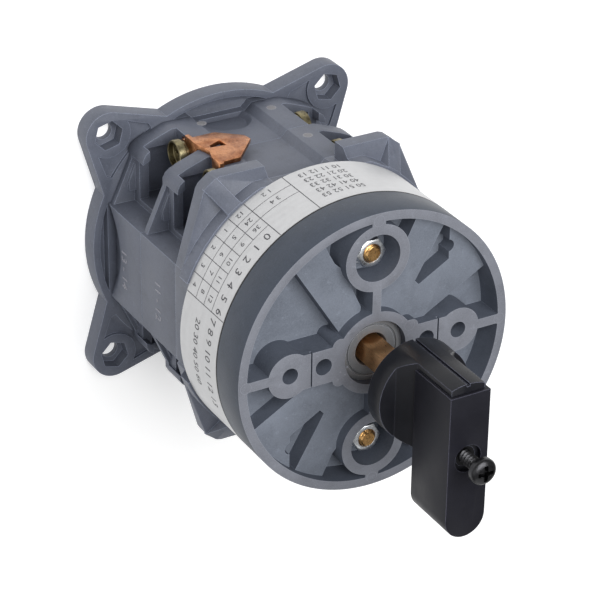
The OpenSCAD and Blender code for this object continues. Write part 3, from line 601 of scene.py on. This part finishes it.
def cup_head_screw(shank_r, shank_l, washer_r, washer_t, head_r, head_t, cup_r, cup_t):
    """Terminal screw: plain shank, round washer, and a head hollowed to a cup.

    The cup's floor holds a cross recess. The outline is a turned profile of radius and height.
    """
    count = 72
    angle = circle_of(count)
    top = washer_t + head_t
    profile = np.array([
        (shank_r - 0.4, -shank_l), (shank_r, 0.4 - shank_l), (shank_r, -0.01),
        (washer_r - 0.15, 0), (washer_r, 0.15), (washer_r, washer_t - 0.15), (washer_r - 0.1, washer_t),
        (head_r - 0.35, washer_t), (head_r, washer_t + 0.35),
        (head_r, top - 0.3), (head_r - 0.1, top - 0.08), (head_r - 0.3, top),
        (cup_r + 0.1, top), (cup_r, top - 0.1), (cup_r, top - cup_t + 0.15), (cup_r - 0.15, top - cup_t),
    ])
    floor_r = np.linspace(cup_r - 0.3, 0.05, 22)[:, None] * np.ones(count)
    floor_h = top - cup_t - cross_recess(floor_r, angle, 0.72 * cup_r, 0.42, 0.8)
    radius = np.concatenate([profile[:, :1] * np.ones(count), floor_r])
    height = np.concatenate([profile[:, 1:] * np.ones(count), floor_h])
    return turned(radius, height, count)


STUD_PITCH, STUD_THREAD = 0.8, 14
NUT_BORE, WASHER_BORE = 2.58, 2.62
SHANK_R, SHANK_L = 2.0, 8.0
TERMINAL_WASHER_R, TERMINAL_WASHER_T = 3.6, 1.0
CUP_WALL, CUP_DEPTH = 0.65, 1.9
KNOB_SCREW_R, KNOB_SCREW_PITCH, KNOB_SCREW_HEAD_T = 2.0, 1.2, 3.1
# Reach, half width and depth of the cross in the knob screw's head
KNOB_SCREW_CROSS = (2.3, 0.5, 1.5)


def lay_fasteners():
    """The tie studs with their nuts and spring washers, the terminal screws and the knob screw."""
    for end in ("top", "bottom"):
        low, high = corners(f"tie_stud_{end}")
        y = (low[1] + high[1]) / 2
        rod = threaded_rod((high[0] - low[0]) / 2, STUD_PITCH, high[2] - low[2], STUD_THREAD)
        piece(f"threaded_stud_{end}", [(stand(rod, (0, y, low[2])), False)], "switch", "brass",
              stands_for=[f"tie_stud_{end}"])
        for row in ("rear", "front"):
            low, high = corners(f"{row}_nut_{end}")
            nut = hex_nut(high[1] - low[1], high[2] - low[2], NUT_BORE)
            piece(f"chamfered_nut_{row}_{end}", [(nut + [0, y, low[2]], True)], "switch", "zinc",
                  stands_for=[f"{row}_nut_{end}"])
        low, high = corners(f"spring_washer_{end}")
        washer = split_washer((high[1] - low[1]) / 2, WASHER_BORE, high[2] - low[2])
        piece(f"split_washer_{end}", [(washer + [0, y, low[2]], False)], "switch", "zinc",
              stands_for=[f"spring_washer_{end}"])
    for deck in ("rear", "front"):
        for corner, way in (("ul", -1), ("ll", -1), ("ur", 1), ("lr", 1)):
            low, high = corners(f"{deck}_screw_{corner}")
            head_r = (high[1] - low[1]) / 2
            head_t = high[0] - low[0] - (SHANK_L + TERMINAL_WASHER_T)
            middle = (low + high) / 2
            screw = cup_head_screw(SHANK_R, SHANK_L, TERMINAL_WASHER_R, TERMINAL_WASHER_T, head_r, head_t,
                                   head_r - CUP_WALL, CUP_DEPTH)
            base_x = (low[0] + SHANK_L) if way > 0 else (high[0] - SHANK_L)
            placed = stand(screw, (base_x, middle[1], middle[2]), (way, 0, 0))
            piece(f"cup_screw_{deck}_{corner}", [(placed, False)], "switch", "brass", DULL_SHADED_BRASS,
                  stands_for=[f"{deck}_screw_{corner}"])
    low, high = corners("knob_screw")
    screw = pan_head_screw(KNOB_SCREW_R, KNOB_SCREW_PITCH, high[2] - low[2] - KNOB_SCREW_HEAD_T,
                           (high[0] - low[0]) / 2, KNOB_SCREW_HEAD_T, KNOB_SCREW_CROSS)
    middle = (low + high) / 2
    seat = (middle[0], middle[1], high[2] - KNOB_SCREW_HEAD_T)
    piece("pan_head_screw", [(stand(screw, seat), False)], "screw", "black_screw", stands_for=["knob_screw"])


# The label's print, on the drum's cylinder: X runs round it and Y along the shaft

label_low, label_high = corners("label_band")
INK_GAP = 0.012
INK_T = 0.02
PRINT_R = (label_high[0] - label_low[0]) / 2 + INK_GAP


def wrap(across, along, out):
    """Carries flat points onto the drum: the first runs round it from the X axis, as an arc length."""
    angle = across / PRINT_R
    radius = PRINT_R + out
    return np.stack([radius * np.cos(angle), radius * np.sin(angle), along], -1)


def arc_length(degrees):
    """Place round the label as a length, from its angle at the shaft."""
    return np.radians(degrees) * PRINT_R


def printed_line(start, end, wide):
    """Thin bar along a line of the label: a flat oblong carried from start to end."""
    start, end = np.array(start, float), np.array(end, float)
    count = max(2, int(abs(end[0] - start[0]) / 0.8) + 2)
    way = (end - start) / np.linalg.norm(end - start)
    side = np.array([-way[1], way[0]])
    middle = start + (end - start) * np.linspace(0, 1, count)[:, None]
    across = np.array([-0.5, 0.5, 0.5, -0.5]) * wide
    out = np.array([0, 0, 1, 1]) * INK_T
    flat = middle[:, None, :] + across[None, :, None] * side
    return wrap(flat[..., 0], flat[..., 1], np.broadcast_to(out, flat.shape[:2])), False


# The grid's column lines in degrees round the drum, its row lines in millimetres along the shaft
COLUMNS = [122.35, 130.1, 137.75, 145.5, 153.2, 160.9]
ROWS = [69.1, 73.8, 78.45]
WIDE_FROM = 104.7
INNER_LINE, OUTER_LINE, ROW_LINE = 0.2, 0.24, 0.15


def print_grid():
    """Ruled lines of the label: rows round the drum, columns along it."""
    low_z, high_z = label_low[2] + 0.1, label_high[2] - 0.1
    lines = [printed_line((arc_length(a), low_z), (arc_length(a), ROWS[2]), INNER_LINE)
             for a in COLUMNS[1:-1]]
    lines += [printed_line((arc_length(a), low_z), (arc_length(a), high_z), OUTER_LINE)
              for a in (WIDE_FROM, COLUMNS[0], COLUMNS[-1])]
    for row, first in zip(ROWS, (WIDE_FROM, WIDE_FROM, COLUMNS[0])):
        lines.append(printed_line((arc_length(first), row), (arc_length(COLUMNS[-1]), row), ROW_LINE))
    piece("label_lines", lines, "switch", "label", INK, smooth=False)


# Share of the font's size that a digit's height takes
DIGIT_SHARE = 0.73
NUMBER_HALF_T = 0.01
NUMBER_WELD_MM = 0.0005


def flat_number(text, high):
    """Vertices and faces of a plain number, its digits that high and its middle at the origin."""
    curve = bpy.data.curves.new("number", "FONT")
    curve.body = text
    curve.size = high / DIGIT_SHARE
    curve.align_x = "CENTER"
    curve.resolution_u = 2
    curve.extrude = NUMBER_HALF_T
    holder = bpy.data.objects.new("number", curve)
    bpy.context.scene.collection.objects.link(holder)
    mesh = bpy.data.meshes.new_from_object(holder.evaluated_get(bpy.context.evaluated_depsgraph_get()))
    points = np.empty(3 * len(mesh.vertices))
    mesh.vertices.foreach_get("co", points)
    faces = [list(face.vertices) for face in mesh.polygons]
    bpy.data.objects.remove(holder)
    bpy.data.curves.remove(curve)
    bpy.data.meshes.remove(mesh)
    points = points.reshape(-1, 3)
    return points - [0, high / 2, 0], faces


def number_piece(name, laid, finish):
    """One mesh from numbers that have been laid in place, each as points and faces."""
    firsts = np.cumsum([0] + [len(points) for points, _ in laid])
    faces = [[int(first) + corner for corner in cell]
             for first, (_, cells) in zip(firsts, laid) for cell in cells]
    add_mesh(name, [points for points, _ in laid], faces, "switch", finish, NUMBER_WELD_MM)


def print_numbers():
    """Plain numbers in the label's cells and in the fields round them.

    Each entry is a text, its angle round the drum, its place along the shaft and its digits' height.
    """
    small, medium, tall, large = 1.9, 2.1, 2.6, 3.0
    middles = [(a + b) / 2 for a, b in zip(COLUMNS[:-1], COLUMNS[1:])]
    levels = [(label_low[2] + ROWS[0]) / 2, (ROWS[0] + ROWS[1]) / 2, (ROWS[1] + ROWS[2]) / 2]
    entries = [(str(1 + 4 * row + col), middles[1 + col], level, small)
               for row, level in enumerate(levels) for col in range(4)]
    entries += [(text, middles[0], level, small) for text, level in zip(("12", "24", "36"), levels)]
    entries += [(text, 113.5, level, small) for text, level in zip(("1 2", "3 4"), levels)]
    entries += [(str(step), 126 + 5.5 * step, 81.9, large) for step in range(7)]
    entries += [("7 8 9 10 11 12 13", 181.5, 80.6, large), ("20 30 40 50 60", 181, 73.2, tall)]
    entries += [(f"{a} {a + 1} {a + 2} {a + 3}", 91, level, medium)
                for a, level in ((10, 67.0), (20, 70.4), (30, 73.8), (40, 77.2), (50, 80.6))]
    laid = []
    for text, angle, level, high in entries:
        flat, cells = flat_number(text, high)
        placed = wrap(arc_length(angle) + flat[:, 0], level + flat[:, 1], NUMBER_HALF_T + flat[:, 2])
        laid.append((placed, cells))
    number_piece("label_numbers", laid, INK)


# Marks of the mould, in millimetres

RAISED_HIGH, RAISED_OUT, RAISED_GAIN, RAISED_SHIFT = 3.4, 0.03, 5, 2
RIDGE_Y = 38.05
MARK_R, MARK_RISE, MARK_ROOT = 1.5, 0.03, 0.05
HOOP_INNER, HOOP_OUTER = 1.58, 1.74
RIM_MARK_AT = 41.6
HUB_MARK_AT = (11.1, 5.9)
PIPS_AT = (-9.9, -4.5)


def raised_numbers():
    """Numbers moulded on the decks' flats: X of a flat number runs down and its Y along the shaft."""
    laid = []
    for node, numbers in (("rear_deck", "13 - 14"), ("front_deck", "11 - 12")):
        low, high = corners(node)
        middle = (low + high) / 2
        for side in (-1, 1):
            flat, cells = flat_number(numbers, RAISED_HIGH)
            out = high[0] + RAISED_OUT + RAISED_GAIN * flat[:, 2]
            down = flat[:, 0] + RAISED_SHIFT
            laid.append((np.stack([side * out, side * down, middle[2] + flat[:, 1]], -1), cells))
    number_piece("raised_numbers", laid, RAISED_MARK)


def press_marks():
    """Marks of the mould's ejector pins: pale low domes on the ridges, thin rings on the cover's face.

    A dome is a turned profile whose height falls with the fourth power of its radius.
    """
    share = np.array([1.0, 0.85, 0.5, 0.02])
    dome = turned(np.append(MARK_R, MARK_R * share), np.append(-MARK_ROOT, MARK_RISE * (1 - share ** 4)), 40)
    marks = [(stand(dome, (x, way * RIDGE_Y, z), (0, way, 0)), False)
             for z in (12.6, 34.8) for x in (-9.8, 14.0) for way in (-1, 1)]
    piece("ejector_marks", marks, "switch", "housing", PALE_MARK)
    hoop = turned([HOOP_INNER, HOOP_OUTER, HOOP_OUTER, HOOP_INNER],
                  [-MARK_ROOT, -MARK_ROOT, MARK_RISE, MARK_RISE], 48)
    face_z = corners("front_cover")[1][2]
    rim = RIM_MARK_AT
    spots = [(stand(hoop, (x, y, face_z)), True)
             for x, y in ((0, rim), (0, -rim), (rim, 0), (-rim, 0), HUB_MARK_AT)]
    pip = dome * [0.24, 0.24, 4]
    spots += [(stand(pip, (PIPS_AT[0] + x, PIPS_AT[1] + y, face_z)), False)
              for x, y in ((0, 0), (-1.5, 1.2), (-2.2, -0.9), (0.8, 2.4))]
    piece("rim_marks", spots, "switch", "cover", RIM_MARK)


lay_fasteners()
print_grid()
print_numbers()
raised_numbers()
press_marks()


# Stage: floor, light and background

FLOOR_HALF = 3.0
FLOOR_TONE, FLOOR_GLOW = 0.86, 0.36
WORLD_STRENGTH = 0.22
LIGHT_AIM = (0, 0, 0.09)


def lay_floor():
    """Plain pale floor, a little aglow so that it fades into the background."""
    data = bpy.data.meshes.new("floor")
    half = FLOOR_HALF
    data.from_pydata([(-half, -half, 0), (half, -half, 0), (half, half, 0), (-half, half, 0)], [],
                     [(0, 1, 2, 3)])
    floor = bpy.data.objects.new("floor", data)
    paint = Finish("pale_floor")
    paint.colour((FLOOR_TONE,) * 3)
    paint.rough(0.9)
    paint.shader.inputs["Emission Color"].default_value = (1, 1, 1, 1)
    paint.shader.inputs["Emission Strength"].default_value = FLOOR_GLOW
    data.materials.append(paint.material)
    bpy.context.scene.collection.objects.link(floor)


def soft_light(name, direction, size, power, distance):
    """Square soft box that stands off in a direction and faces the switch."""
    data = bpy.data.lights.new(name, "AREA")
    data.size = size
    data.energy = power
    light = bpy.data.objects.new(name, data)
    way = Vector(direction).normalized()
    light.location = Vector(LIGHT_AIM) + distance * way
    light.rotation_euler = way.to_track_quat("Z", "Y").to_euler()
    bpy.context.scene.collection.objects.link(light)


# Name, direction, size in metres, power in watts and distance in metres
LIGHTS = [
    ("key_light", (0.0, 0.45, 1.0), 0.55, 5.2, 0.6),
    ("left_light", (-1.0, 0.0, 0.6), 0.7, 1.2, 0.9),
    ("low_light", (0.1, -1.0, 0.45), 0.7, 1.1, 0.9),
]


def light_stage():
    """The soft boxes and an even white background."""
    for light in LIGHTS:
        soft_light(*light)
    world = bpy.data.worlds.new("studio")
    world.use_nodes = True
    world.node_tree.nodes["Background"].inputs["Color"].default_value = (1, 1, 1, 1)
    world.node_tree.nodes["Background"].inputs["Strength"].default_value = WORLD_STRENGTH
    bpy.context.scene.world = world
    bpy.context.scene.view_settings.view_transform = "Standard"


lay_floor()
light_stage()
